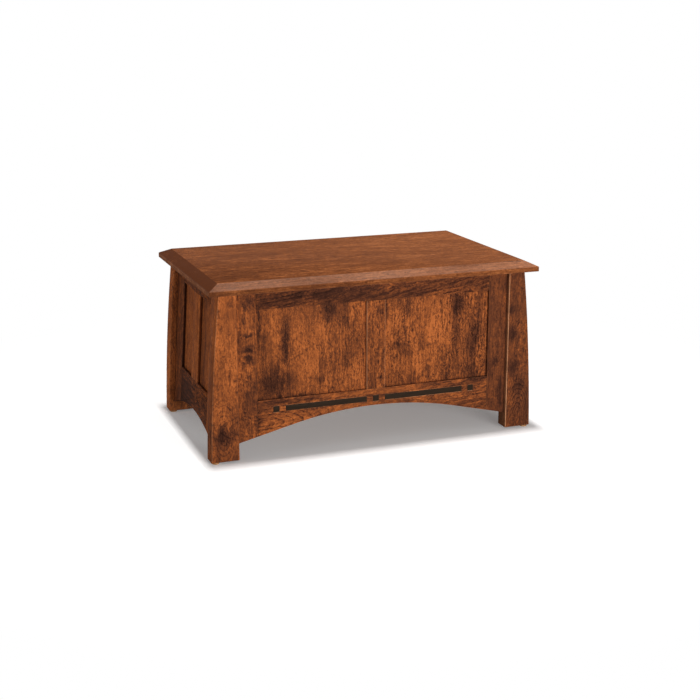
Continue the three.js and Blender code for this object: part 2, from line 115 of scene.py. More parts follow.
class Graph:
    """Adds nodes to a tree. An input is a value or another node's output."""

    def __init__(self, tree):
        self.nodes, self.links = tree.nodes, tree.links

    def put(self, value, socket):
        """Links an output to the socket, or sets the socket to a value."""
        if isinstance(value, bpy.types.NodeSocket):
            self.links.new(value, socket)
        else:
            socket.default_value = value

    def add(self, kind, inputs=None, **settings):
        """A new node with its settings and inputs."""
        node = self.nodes.new(kind)
        for key, value in settings.items():
            setattr(node, key, value)
        for key, value in (inputs or {}).items():
            self.put(value, node.inputs[key])
        return node

    def math(self, operation, *values):
        """The result of an operation on numbers."""
        return self.add("ShaderNodeMath", dict(enumerate(values)), operation=operation).outputs[0]

    def vector(self, operation, *values):
        """The node of an operation on vectors."""
        return self.add("ShaderNodeVectorMath", dict(enumerate(values)), operation=operation)

    def stretched(self, vector, scale):
        """The vector, each part of it times its own scale."""
        return self.vector("MULTIPLY", vector, scale).outputs[0]

    def noise(self, vector, detail=3.0, rough=0.55, distortion=0.0):
        """A noise value around zero."""
        noise = self.add("ShaderNodeTexNoise", {
            "Vector": vector, "Scale": 1.0, "Detail": detail, "Roughness": rough, "Distortion": distortion,
        })
        return self.math("SUBTRACT", noise.outputs[0], 0.5)

    def wander(self, vector, reach, scale=1.0, detail=2.0, rough=0.5):
        """A random vector around zero, as long as the reach allows."""
        noise = self.add("ShaderNodeTexNoise", {
            "Vector": vector, "Scale": scale, "Detail": detail, "Roughness": rough,
        })
        centred = self.vector("SUBTRACT", noise.outputs["Color"], (0.5, 0.5, 0.5)).outputs[0]
        return self.stretched(centred, reach)

    def weighed(self, *terms):
        """The sum of (value, weight) pairs."""
        total = 0.0
        for value, weight in terms:
            total = self.math("MULTIPLY_ADD", value, weight, total)
        return total

    def ramp(self, value, stops):
        """The colour for a value, from (place, colour code) pairs."""
        node = self.add("ShaderNodeValToRGB", {0: value})
        marks = node.color_ramp.elements
        while len(marks) < len(stops):
            marks.new(1.0)
        for mark, (place, code) in zip(marks, stops):
            mark.position, mark.color = place, colour(code)
        return node.outputs[0]

    def attribute(self, name, part="Fac"):
        """What the mesh says under a name, for a material."""
        return self.add("ShaderNodeAttribute", attribute_name=name).outputs[part]

    def point_attribute(self, name, kind):
        """What the points say under a name, for geometry nodes."""
        return self.add("GeometryNodeInputNamedAttribute", {"Name": name}, data_type=kind).outputs[0]


def new_material(name):
    """An empty material, and the graph of its nodes."""
    material = bpy.data.materials.new(name)
    material.use_nodes = True
    material.node_tree.nodes.clear()
    return material, Graph(material.node_tree)


def close_material(graph, shader):
    """Gives the material its surface."""
    graph.add("ShaderNodeOutputMaterial", {"Surface": shader})


# Marks of the stain on the front boards. Each has its middle as shares of the board's width and height,
# its half width and half height in millimetres, and how much darker it is there, or paler below zero
STAIN_MARKS = {
    "front_left_panel": [
        (0.18, 0.20, 64, 50, 0.52), (0.28, 0.60, 16, 95, 0.60), (0.64, 0.89, 26, 38, 0.42),
        (0.84, 0.51, 32, 110, 0.24), (0.57, 0.19, 18, 15, 0.30), (0.05, 0.78, 8, 70, 0.36),
        (0.17, 0.69, 24, 85, -0.44), (0.54, 0.60, 42, 86, -0.16), (0.46, 0.29, 30, 50, -0.12),
    ],
    "front_right_panel": [
        (0.69, 0.85, 24, 36, 0.50), (0.88, 0.40, 34, 120, 0.40), (0.87, 0.13, 52, 50, 0.46),
        (0.23, 0.83, 24, 30, 0.24), (0.24, 0.46, 14, 80, 0.24), (0.14, 0.46, 30, 15, 0.26),
        (0.42, 0.16, 19, 30, 0.28), (0.08, 0.72, 30, 70, -0.40), (0.50, 0.63, 50, 105, -0.34),
        (0.20, 0.23, 60, 34, -0.26), (0.39, 0.86, 28, 40, -0.16),
    ],
    "front_left_stile": [
        (0.66, 0.62, 15, 14, 0.70), (0.63, 0.56, 17, 10, 0.65), (0.65, 0.72, 16, 8, 0.60),
        (0.60, 0.34, 28, 10, 0.35), (0.72, 0.92, 20, 30, 0.40), (0.54, 0.25, 22, 80, 0.26),
        (0.99, 0.14, 16, 50, 0.36),
    ],
    "front_center_stile": [
        (0.62, 0.86, 12, 12, 0.34), (0.75, 0.15, 10, 18, 0.32),
    ],
    "front_right_stile": [
        (0.38, 0.38, 14, 12, 0.34), (0.64, 0.14, 10, 60, 0.34),
    ],
    "front_top_rail": [
        (0.23, 0.49, 175, 22, 0.30),
    ],
    "front_bottom_rail": [
        (0.13, 0.92, 125, 16, 0.60), (0.03, 0.76, 34, 14, 0.36), (0.15, 0.34, 85, 26, -0.22),
    ],
    "post_front_left": [
        (0.52, 0.60, 11, 36, 0.24), (0.42, 0.15, 36, 32, 0.46), (0.80, 0.94, 10, 10, 0.40),
    ],
    "post_front_right": [
        (0.09, 0.75, 12, 20, 0.36), (0.19, 0.60, 20, 26, 0.36), (0.26, 0.39, 20, 28, 0.36),
        (0.46, 0.27, 24, 30, 0.30),
    ],
}

# Knots that the year rings run round: middle, half width and half height in the same way, and number of rings
RINGED_KNOTS = {
    "post_front_left": (0.46, 0.16, 50, 120, 8),
    "front_bottom_rail": (0.04, 0.35, 200, 62, 7),
    "post_front_right": (0.48, 0.07, 50, 130, 9),
}
MARK_DEPTH = 60
MILLIMETRE = 0.001

# How a mark's edge wanders, and between which of its ovals a mark and a knot's rings fade out
WANDER_SCALE, WANDER_REACH, CALM_SHARE = 45.0, (0.03, 0.0, 0.06), (0.3, 0.0, 0.3)
MARK_FADE, KNOT_FADE, KNOT_RING_SHARPNESS = (1.35, 0.15), (1.1, 0.7), 5.0


def oval_distance(graph, place, node, across, up, half_width, half_height):
    """Distance from a place on a front board, where 1 is the edge of an oval round it."""
    low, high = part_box(node)
    middle = (low.x + across * (high.x - low.x), low.y, low.z + up * (high.z - low.z))
    reach = [size * MILLIMETRE for size in (half_width, MARK_DEPTH, half_height)]
    local = graph.add("ShaderNodeMapping", {"Vector": place, "Location": middle, "Scale": reach},
                      vector_type="TEXTURE").outputs[0]
    return graph.vector("LENGTH", local).outputs["Value"]


def faded(graph, value, limits, strength=1.0):
    """A smooth step from 0 at the first limit to the strength at the second."""
    return graph.add("ShaderNodeMapRange", {
        "Value": value, "From Min": limits[0], "From Max": limits[1], "To Min": 0.0, "To Max": strength,
    }, interpolation_type="SMOOTHSTEP").outputs[0]


def stain_marks_group():
    """The listed marks of the front: how dark the stain took, and the rings round its knots."""
    tree = bpy.data.node_groups.new("stain_marks", "ShaderNodeTree")
    for name in ("Darkness", "Rings"):
        tree.interface.new_socket(name, in_out="OUTPUT", socket_type="NodeSocketFloat")
    graph = Graph(tree)
    place = graph.add("ShaderNodeTexCoord").outputs["Object"]
    wander = graph.wander(place, WANDER_REACH, scale=WANDER_SCALE, detail=5.0, rough=0.72)
    roaming = graph.vector("ADD", place, wander).outputs[0]
    darker, paler, rings = 0.0, 0.0, 0.0
    for node, marks in STAIN_MARKS.items():
        for *oval, strength in marks:
            distance = oval_distance(graph, roaming, node, *oval)
            mark = faded(graph, distance, MARK_FADE, abs(strength))
            if strength > 0:
                darker = graph.math("MAXIMUM", darker, mark)
            else:
                paler = graph.math("MAXIMUM", paler, mark)
    calm = graph.vector("ADD", place, graph.stretched(wander, CALM_SHARE)).outputs[0]
    for node, (*oval, count) in RINGED_KNOTS.items():
        distance = oval_distance(graph, calm, node, *oval)
        line = graph.math("FRACT", graph.math("MULTIPLY", distance, count))
        line = graph.math("POWER", line, KNOT_RING_SHARPNESS)
        line = graph.math("MULTIPLY", line, faded(graph, distance, KNOT_FADE))
        rings = graph.math("MAXIMUM", rings, line)
    ends = graph.add("NodeGroupOutput").inputs
    graph.put(graph.math("SUBTRACT", darker, paler), ends["Darkness"])
    graph.put(rings, ends["Rings"])
    return tree


stain_marks = stain_marks_group()


def year_ring(graph, board):
    """Rings round the pith, which rise to their dark line and taper off along the board."""
    wave = graph.noise(graph.stretched(board, FIGURES["wave"]), detail=4.0)
    parts = graph.add("ShaderNodeSeparateXYZ", {0: board}).outputs
    from_pith = graph.add("ShaderNodeCombineXYZ", {"Y": parts[1], "Z": parts[2]}).outputs[0]
    radius = graph.vector("LENGTH", from_pith).outputs["Value"]
    radius = graph.weighed((radius, 1.0), (parts[0], RING_TAPER), (wave, RING_WAVE))
    return graph.math("POWER", graph.math("FRACT", graph.math("DIVIDE", radius, RING_WIDTH)), RING_SHARPNESS)


def board_pattern(graph, staves=0.0, stave_width=0.09):
    """Patterns of a board, from its own coordinates: along, across and into the wood."""
    board = graph.attribute("board", "Vector")
    across = graph.add("ShaderNodeSeparateXYZ", {0: board}).outputs[1]
    stave = graph.math("FLOOR", graph.math("DIVIDE", across, stave_width))
    stave = graph.math("ADD", stave, graph.attribute("chance"))
    chance = graph.add("ShaderNodeTexWhiteNoise", {"W": stave}, noise_dimensions="1D").outputs["Value"]
    chance = graph.math("SUBTRACT", chance, 0.5)
    shift = graph.math("MULTIPLY", chance, STAVE_SHIFT * staves)
    shift = graph.add("ShaderNodeCombineXYZ", {"X": shift}).outputs[0]
    board = graph.vector("ADD", board, shift).outputs[0]
    curl = graph.wander(graph.stretched(board, FIGURES["curl"]), CURL_REACH)
    curly = graph.vector("ADD", board, curl).outputs[0]
    return {
        "chance": chance,
        "cloud": graph.noise(graph.stretched(board, FIGURES["cloud"]), detail=5.0, rough=0.6, distortion=0.6),
        "mottle": graph.noise(graph.stretched(curly, FIGURES["mottle"]), rough=0.7, distortion=0.7),
        "fleck": graph.noise(graph.stretched(curly, FIGURES["fleck"]), detail=2.0, rough=0.7),
        "streak": graph.noise(graph.stretched(curly, FIGURES["streak"]), rough=0.6),
        "fibre": graph.noise(graph.stretched(board, FIGURES["fibre"]), detail=2.0),
        "ring": year_ring(graph, board),
    }


def varied(graph, base, pattern, **weights):
    """The base, raised and lowered by the named patterns as much as their weights say."""
    for name, weight in weights.items():
        base = graph.math("MULTIPLY_ADD", pattern[name], weight, base)
    return base


def painted_corner_shade(graph, pattern):
    """Painted shade: a ragged dark line where a board's corners with its neighbours are occluded."""
    reach = graph.math("MULTIPLY", CORNER_REACH, varied(graph, 1.0, pattern, mottle=3.0, fleck=3.0))
    open_share = graph.add("ShaderNodeAmbientOcclusion", {"Distance": reach}, samples=CORNER_SAMPLES)
    corner = faded(graph, open_share.outputs["AO"], CORNER_OPEN_SHARES, CORNER_SHADE_DARKNESS)
    return graph.math("MULTIPLY", corner, graph.attribute("corner_shade_share"))


def board_figure(graph, pattern, weights, ring, calmed):
    """The figure of the wood, livelier in clouds and calmer where end grain's stain and painted shade darken
    it.
    """
    small = varied(graph, 0.0, pattern, mottle=weights["mottle"], fleck=weights["fleck"],
                   streak=weights["streak"])
    small = graph.math("MULTIPLY", small, varied(graph, 1.0, pattern, cloud=3.0))
    figure = varied(graph, small, pattern, cloud=weights["cloud"], fibre=0.25)
    rings = graph.math("MULTIPLY", pattern["ring"], graph.attribute("ringed"))
    figure = graph.weighed((figure, 1.0), (rings, -ring))
    calm = graph.add("ShaderNodeMapRange", {
        "Value": graph.attribute("stain_and_painted_shade"), "To Min": 1.0, "To Max": calmed,
    }).outputs[0]
    calm = graph.math("MULTIPLY", calm, graph.attribute("figured"))
    return graph.math("MULTIPLY", calm, figure)


def stained_wood(name, stops, level, cloud, mottle, fleck, streak, ring, staves=0.0, stave_width=0.09,
                 stave_tone=0.0, roughness=0.42, gloss=0.005, patches=0.65, end_grain_and_shade=0.25, calmed=0.3,
                 highlight_colour="cb9068"):
    """Wood that stains darker on end grain and at its marks, with painted shade in corners and on some walls
    and sides, and painted light, highlights and sheen on some arrises, walls and bevels.
    """
    material, graph = new_material(name)
    pattern = board_pattern(graph, staves, stave_width)
    marks = graph.add("ShaderNodeGroup", node_tree=stain_marks).outputs
    broken = varied(graph, 1.0, pattern, streak=1.4, mottle=1.8, fleck=1.0)
    dark = graph.math("MULTIPLY", marks["Darkness"], broken)
    knot_rings = graph.math("MULTIPLY", marks["Rings"], graph.attribute("ringed"))
    weights = {"cloud": cloud, "mottle": mottle, "fleck": fleck, "streak": streak}
    value = graph.math("ADD", level, graph.weighed(
        (board_figure(graph, pattern, weights, ring, calmed), 1.0),
        (pattern["chance"], stave_tone),
        (graph.attribute("tone"), 1.0),
        (dark, -patches),
        (knot_rings, -KNOT_RING_DARKNESS * patches),
        # Stain on end grain, with painted shade on some walls and sides and painted light on the lid's ends
        (graph.attribute("stain_and_painted_shade"), -end_grain_and_shade),
        # Painted shade in the corners between boards
        (painted_corner_shade(graph, pattern), -1.0),
    ))
    unevenness = varied(graph, 1.0, pattern, cloud=2.2, fleck=1.5)
    # Painted highlights, sheen and light, mixed toward a pale colour
    painted_highlight = graph.math("MULTIPLY", graph.attribute("painted_highlight"), unevenness)
    paler = graph.add("ShaderNodeMix", {
        "Factor": painted_highlight, "A": graph.ramp(value, stops), "B": colour(highlight_colour),
    }, data_type="RGBA").outputs["Result"]
    bump = graph.add("ShaderNodeBump", {
        "Strength": GRAIN_RELIEF_STRENGTH, "Distance": GRAIN_RELIEF,
        "Height": varied(graph, 0.0, pattern, fibre=0.6, streak=0.4),
    })
    shader = graph.add("ShaderNodeBsdfPrincipled", {
        "Base Color": paler,
        "Roughness": varied(graph, roughness, pattern, fibre=0.1, mottle=0.06),
        "Specular IOR Level": gloss,
        "Normal": bump.outputs[0],
    })
    close_material(graph, shader.outputs[0])
    return material


# Colours from the darkest to the palest of each finish
STAIN = [(0.0, "2d1a13"), (0.2, "482a1f"), (0.4, "693b25"), (0.6, "8c4d2a"), (0.8, "a85d30"), (1.0, "c06c38")]
LID_STAIN = [(0.0, "57301d"), (0.3, "764326"), (0.5, "884e2c"), (0.75, "9f5e35"), (1.0, "b66f41")]
CEDAR = [(0.0, "7b4f33"), (0.35, "a97850"), (0.65, "c2926a"), (1.0, "d6ae86")]
EBONY = [(0.0, "211811"), (0.6, "362a20"), (1.0, "4d3d2e")]
BRASS = [(0.0, "5c4722"), (0.45, "a5864a"), (1.0, "cdb173")]
SCREW_BRASS = [(0.0, "4d3d20"), (0.5, "97793f"), (1.0, "c2a566")]
NYLON = [(0.0, "9a6a3c"), (0.5, "b9824b"), (1.0, "cf9c66")]

# How often the patterns of the metal and the nylon repeat in a metre, along x, y and z
METAL_FIGURES = {"tarnish": (180.0, 180.0, 180.0), "brushed": (60.0, 2600.0, 2600.0)}
METAL_RELIEF, METAL_RELIEF_STRENGTH = 0.0001, 0.2
NYLON_FIGURES = {"mottle": (260.0, 260.0, 260.0), "scuff": (900.0, 200.0, 900.0)}

panel_wood = stained_wood(
    "stained_panel_wood", STAIN, level=0.575, cloud=1.0, mottle=1.1, fleck=1.3, streak=1.0, ring=0.14,
    staves=1.0, stave_tone=0.2)
frame_wood = stained_wood(
    "stained_frame_wood", STAIN, level=0.54, cloud=0.75, mottle=1.0, fleck=1.0, streak=0.8, ring=0.16)
post_wood = stained_wood(
    "stained_post_wood", STAIN, level=0.61, cloud=0.75, mottle=1.2, fleck=1.0, streak=0.7, ring=0.12)
# The lid's stronger end-grain darkening also paints the shade on its end bevels, and its pale colour is a
# greyer painted sheen
lid_wood = stained_wood(
    "stained_lid_wood", LID_STAIN, level=0.46, cloud=1.0, mottle=1.3, fleck=1.0, streak=1.9, ring=0.10,
    staves=0.6, stave_width=0.122, stave_tone=0.1, roughness=0.46, gloss=0.001, patches=0.0,
    end_grain_and_shade=0.40, calmed=0.55, highlight_colour="b99886")
cedar = stained_wood(
    "cedar", CEDAR, level=0.62, cloud=0.5, mottle=0.2, fleck=0.2, streak=0.4, ring=0.3,
    roughness=0.6, gloss=0.05, patches=0.0)


def ebony_material():
    """Near-black wood with faint brown streaks."""
    material, graph = new_material("ebony")
    pattern = board_pattern(graph)
    value = varied(graph, 0.45, pattern, streak=0.6, fibre=0.5)
    shader = graph.add("ShaderNodeBsdfPrincipled", {
        "Base Color": graph.ramp(value, EBONY),
        "Roughness": varied(graph, 0.42, pattern, fibre=0.12),
        "Specular IOR Level": 0.02,
    })
    close_material(graph, shader.outputs[0])
    return material


def brass_material(name, stops):
    """Aged metal: brushed lines, spots of tarnish and a fine relief."""
    material, graph = new_material(name)
    place = graph.add("ShaderNodeTexCoord").outputs["Object"]
    pattern = {
        "tarnish": graph.noise(graph.stretched(place, METAL_FIGURES["tarnish"]), detail=5.0, rough=0.65),
        "brushed": graph.noise(graph.stretched(place, METAL_FIGURES["brushed"]), detail=2.0),
    }
    value = varied(graph, 0.55, pattern, tarnish=1.1, brushed=0.3)
    bump = graph.add("ShaderNodeBump", {
        "Strength": METAL_RELIEF_STRENGTH, "Distance": METAL_RELIEF, "Height": pattern["brushed"],
    })
    shader = graph.add("ShaderNodeBsdfPrincipled", {
        "Base Color": graph.ramp(value, stops),
        "Metallic": 1.0,
        "Roughness": varied(graph, 0.36, pattern, tarnish=-0.3, brushed=0.15),
        "Normal": bump.outputs[0],
    })
    close_material(graph, shader.outputs[0])
    return material


def glide_material():
    """Moulded nylon: a soft mottle, worn pale and scuffed."""
    material, graph = new_material("glide_nylon")
    place = graph.add("ShaderNodeTexCoord").outputs["Object"]
    pattern = {
        "mottle": graph.noise(graph.stretched(place, NYLON_FIGURES["mottle"]), detail=4.0),
        "scuff": graph.noise(graph.stretched(place, NYLON_FIGURES["scuff"])),
    }
    shader = graph.add("ShaderNodeBsdfPrincipled", {
        "Base Color": graph.ramp(varied(graph, 0.5, pattern, mottle=0.7, scuff=0.4), NYLON),
        "Roughness": varied(graph, 0.5, pattern, scuff=0.25),
    })
    close_material(graph, shader.outputs[0])
    return material


ebony = ebony_material()
brass = brass_material("aged_brass", BRASS)
screw_brass = brass_material("screw_brass", SCREW_BRASS)
glide_nylon = glide_material()

# Each finish: material, ease of the arrises in metres, spread of the boards' tone
FINISHES = {
    "lid_wood": (lid_wood, 0.0012, 0.0),
    "post_wood": (post_wood, 0.0005, 0.05),
    "frame_wood": (frame_wood, 0.0009, 0.06),
    "panel_wood": (panel_wood, 0.0003, 0.04),
    "inner_wood": (cedar, 0.0008, 0.08),
    "ebony": (ebony, 0.0002, 0.0),
    "hinge_brass": (brass, 0.00015, 0.0),
    "glide": (glide_nylon, 0.00025, 0.0),
}

# Boards that are lighter or darker than their finish
BOARD_TONES = {
    "front_top_rail": -0.15, "front_bottom_rail": 0.10, "front_left_stile": 0.0, "front_right_stile": -0.11,
    "front_center_stile": 0.04, "post_front_left": 0.11, "post_front_right": -0.16,
    "left_top_rail": -0.06, "left_bottom_rail": -0.20, "left_front_stile": 0.22, "left_center_stile": 0.29,
    "left_front_panel": 0.12, "left_back_panel": 0.10, "post_back_left": 0.10,
}

# From which share of its normal a face looks straight along an axis, or partly, and from which share of it
# along the grain a face drinks as much stain as end grain does
STRAIGHT, PARTLY, END_GRAIN_SLANT = 0.9, 0.3, 0.4

# Painted shade on the walls beside a side panel and on a post's side, how much darker the lid's front and
# back edges are, and painted light on the lid's ends below 0
PAINTED_RECESS_WALL_SHADE, PAINTED_POST_SIDE_SHADE, LID_EDGE_DARKENING, PAINTED_LID_END_LIGHT = 1.1, 0.3, 0.12, -0.45

# Painted sheen on the lid's long bevels, and painted light on the walls that face left and on one front
PAINTED_BEVEL_SHEEN, BEVEL_RISE = 0.18, 0.5
PAINTED_LEFT_WALL_LIGHT = {"front_center_stile": 1.0, "post_front_right": 0.3, "lid": 0.12}
PAINTED_FRONT_LIGHT = {"post_back_left": 0.1}

# Painted highlights on the arrises: on those that turn to the left or straight out, and on those that turn
# right
PAINTED_ARRIS_HIGHLIGHT = (0.06, 0.06)
PAINTED_ARRIS_HIGHLIGHTS = {
    "post_front_right": (0.9, 0.06), "post_front_left": (0.2, 0.06), "post_back_left": (0.15, 0.06),
    "front_center_stile": (0.8, 1.0), "front_right_stile": (0.15, 0.06), "front_bottom_rail": (0.5, 0.5),
    "left_front_stile": (0.15, 0.06), "left_center_stile": (0.15, 0.06),
}

# How strongly the year rings show in a board, where 1 is the usual
RINGED_BOARDS = {
    "front_top_rail": 1.5, "front_bottom_rail": 1.5, "front_left_stile": 0.3, "front_left_panel": 0.5,
}

# How lively a board's figure is, where 1 is the usual
FIGURED_BOARDS = {
    "front_top_rail": 0.8, "front_right_stile": 0.6, "post_front_right": 0.7, "front_center_stile": 1.2,
    "front_left_panel": 1.15, "front_right_panel": 1.2, "left_front_stile": 1.2, "left_center_stile": 1.2,
    "post_back_left": 1.3,
}

# How dark the painted shade in the corners of a board is, where 1 is the usual
CORNER_SHADED_BOARDS = {"front_center_stile": 0.0, "post_front_right": 0.0, "front_left_panel": 0.25}

# How much a board's tone rises in a metre to the right, to the back and up. The lid's rise to the right is
# painted light, and the back left post's fall to the right is painted shade
TONE_AND_LIGHT_RISES = {
    "lid": (0.32, 0.0, 0.0), "front_bottom_rail": (-0.3, 0.0, 0.0), "post_front_left": (0.0, 0.0, 0.35),
    "post_back_left": (-4.0, 0.0, 0.0), "left_bottom_rail": (0.0, -0.6, 0.0),
}

# Degrees by which a board's grain runs off its edge
GRAIN_SLOPES = {"front_top_rail": 9.0, "post_front_right": 7.0, "front_bottom_rail": 4.0}


def grain_axes(node):
    """Along, across and into a board, as indices of x, y and z."""
    if node == "lid" or node == "chest_floor" or "batten" in node:
        along = 1 if "batten" in node else 0
        return along, 1 - along, 2
    on_side = node.split("_")[0] in ("left", "right") or node in ("floor_cleat_left", "floor_cleat_right")
    face = 0 if on_side else 1
    lying = "rail" in node or "cleat" in node or "inlay" in node
    along = (1 if on_side else 0) if lying else 2
    return along, 3 - face - along, face


def cleaned_copy(node):
    """The CAD piece's shape with its doubles merged and its flat faces joined."""
    shape = bmesh.new()
    shape.from_mesh(frame["nodes"][node].data)
    bmesh.ops.remove_doubles(shape, verts=shape.verts, dist=JOIN_DISTANCE)
    bmesh.ops.dissolve_limit(shape, angle_limit=FLAT_ANGLE, verts=shape.verts, edges=shape.edges)
    mesh = bpy.data.meshes.new(node + "_shape")
    shape.to_mesh(mesh)
    shape.free()
    return mesh


def plain_mesh(piece, name):
    """The piece's finished mesh with its modifiers made real."""
    bpy.context.view_layer.update()
    seen = piece.evaluated_get(bpy.context.evaluated_depsgraph_get())
    mesh = bpy.data.meshes.new_from_object(seen)
    mesh.name = name
    piece.modifiers.clear()
    piece.data = mesh
    return mesh


def eased(piece, width, material):
    """The piece with its sharp edges eased, and for each face whether it belongs to an eased arris."""
    for _ in range(2):
        piece.data.materials.append(material)
    bevel = piece.modifiers.new("eased arrises", "BEVEL")
    bevel.width, bevel.segments, bevel.material = width, EASE_STEPS, 1
    bevel.limit_method, bevel.angle_limit = "ANGLE", EASE_ANGLE
    bevel.use_clamp_overlap = False
    mesh = plain_mesh(piece, piece.name)
    arris = [face.material_index == 1 or max(map(abs, face.normal)) < STRAIGHT for face in mesh.polygons]
    mesh.polygons.foreach_set("material_index", [0] * len(mesh.polygons))
    mesh.materials.pop()
    return mesh, arris


def add_numbers(mesh, name, domain, numbers):
    """Gives the mesh one number for each of its points or faces."""
    mesh.attributes.new(name, "FLOAT", domain).data.foreach_set("value", numbers)


def stain_and_shade_share(node, normal, along):
    """How much darker a face is than a plain one: end grain's stain, painted shade on some walls and a post's
    side, and painted light below 0.
    """
    beside_panel = node.endswith("stile") and along == 2 and node.split("_")[0] in ("left", "right")
    # Painted shade on the front- and back-facing walls beside a side panel
    if beside_panel and abs(normal.y) > STRAIGHT:
        return PAINTED_RECESS_WALL_SHADE
    # Painted shade on the front left post's left side
    if node == "post_front_left" and normal.x < -STRAIGHT:
        return PAINTED_POST_SIDE_SHADE
    # The lid's front and back edges are a little darker, and its ends get painted light
    if node == "lid" and abs(normal.z) < 1 - STRAIGHT:
        return LID_EDGE_DARKENING if abs(normal.y) > STRAIGHT else PAINTED_LID_END_LIGHT
    return min(1.0, abs(normal[along]) / END_GRAIN_SLANT)


def highlight_share(node, normal, along, on_arris):
    """How much painted highlight a face has, standing for glints, sheen and light: arrises, some walls and
    the lid's long bevels.
    """
    if on_arris and abs(normal[along]) > PARTLY:
        return PAINTED_ARRIS_HIGHLIGHT[0]
    if on_arris:
        return PAINTED_ARRIS_HIGHLIGHTS.get(node, PAINTED_ARRIS_HIGHLIGHT)[1 if normal.x > PARTLY else 0]
    if normal.x < -STRAIGHT:
        return PAINTED_LEFT_WALL_LIGHT.get(node, 0.0)
    if normal.y < -STRAIGHT:
        return PAINTED_FRONT_LIGHT.get(node, 0.0)
    if node == "lid" and normal.z > BEVEL_RISE and abs(normal.y) > PARTLY:
        return PAINTED_BEVEL_SHEEN
    return 0.0


def give_board_attributes(mesh, node, tone_spread, arris, rng):
    """Gives a board its place in the wood, along, across and into it, how its stain took, and where shade and
    light are painted on it.
    """
    along, across, into = grain_axes(node)
    low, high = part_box(node)
    middle = (low + high) / 2
    pith = (rng.uniform(-PITH_SIDE, PITH_SIDE), rng.uniform(*PITH_DEPTH))
    shift = rng.uniform(0, ALONG_SHIFT)
    board = mesh.attributes.new("board", "FLOAT_VECTOR", "POINT")
    slope = math.radians(GRAIN_SLOPES.get(node, 0.0))
    for vertex, value in zip(mesh.vertices, board.data):
        place = vertex.co - middle
        run = place[along] * math.cos(slope) + place[across] * math.sin(slope)
        side = place[across] * math.cos(slope) - place[along] * math.sin(slope)
        value.vector = (run + shift, side + pith[0], place[into] + pith[1])
    faces = mesh.polygons
    # Stain on end grain, painted shade on some walls and sides, and painted light on the lid's ends
    add_numbers(mesh, "stain_and_painted_shade", "FACE", [stain_and_shade_share(node, face.normal, along) for face in faces])
    # Painted highlights, sheen and light on arrises, some walls and the lid's long bevels
    painted_highlight = [highlight_share(node, face.normal, along, on_arris) for face, on_arris in zip(faces, arris)]
    add_numbers(mesh, "painted_highlight", "FACE", painted_highlight)
    tone = BOARD_TONES.get(node, rng.uniform(-tone_spread, tone_spread))
    rise = Vector(TONE_AND_LIGHT_RISES.get(node, (0.0, 0.0, 0.0)))
    add_numbers(mesh, "tone", "POINT", [tone + rise.dot(vertex.co - middle) for vertex in mesh.vertices])
    add_numbers(mesh, "chance", "POINT", [rng.uniform(0, ALONG_SHIFT)] * len(mesh.vertices))
    shares = {"ringed": RINGED_BOARDS, "figured": FIGURED_BOARDS, "corner_shade_share": CORNER_SHADED_BOARDS}
    for name, boards in shares.items():
        add_numbers(mesh, name, "POINT", [boards.get(node, 1.0)] * len(mesh.vertices))


def dress(node, slot, body, rng):
    """Makes the finished piece that stands for a CAD node."""
    material, ease, tone_spread = FINISHES[slot]
    piece = bpy.data.objects.new(node + "_finished", cleaned_copy(node))
    bpy.context.scene.collection.objects.link(piece)
    mesh, arris = eased(piece, ease, material)
    mesh.shade_smooth()
    mesh.set_sharp_from_angle(angle=SMOOTH_ANGLE)
    give_board_attributes(mesh, node, tone_spread, arris, rng)
    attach(piece, body)
    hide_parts(node)


def slotted_head(graph, given):
    """A screw head with a radius of 1 and a slot in its top."""
    head = graph.add("GeometryNodeMeshCylinder", {
        "Vertices": SCREW_HEAD_SIDES, "Radius": 1.0, "Depth": given["Head Height"],
    }).outputs["Mesh"]
    size = graph.add("ShaderNodeCombineXYZ", {
        "X": SCREW_SLOT_LENGTH, "Y": given["Slot Width"], "Z": given["Slot Depth"],
    }).outputs[0]
    cutter = graph.add("GeometryNodeMeshCube", {"Size": size}).outputs["Mesh"]
    top = graph.math("DIVIDE", given["Head Height"], 2.0)
    top = graph.add("ShaderNodeCombineXYZ", {"Z": top}).outputs[0]
    cutter = graph.add("GeometryNodeTransform", {"Geometry": cutter, "Translation": top}).outputs[0]
    return graph.add("GeometryNodeMeshBoolean", {"Mesh 1": head, "Mesh 2": cutter},
                     operation="DIFFERENCE").outputs["Mesh"]


def head_turn(graph):
    """The turn of a head: to its point's facing, and round by its twist."""
    facing = graph.point_attribute("facing", "FLOAT_VECTOR")
    turn = graph.add("FunctionNodeAlignRotationToVector", {"Vector": facing}, axis="Z").outputs[0]
    twist = graph.add("FunctionNodeAxisAngleToRotation", {
        "Axis": (0.0, 0.0, 1.0), "Angle": graph.point_attribute("twist", "FLOAT"),
    }).outputs[0]
    return graph.add("FunctionNodeRotateRotation", {"Rotation": turn, "Rotate By": twist},
                     rotation_space="LOCAL").outputs[0]


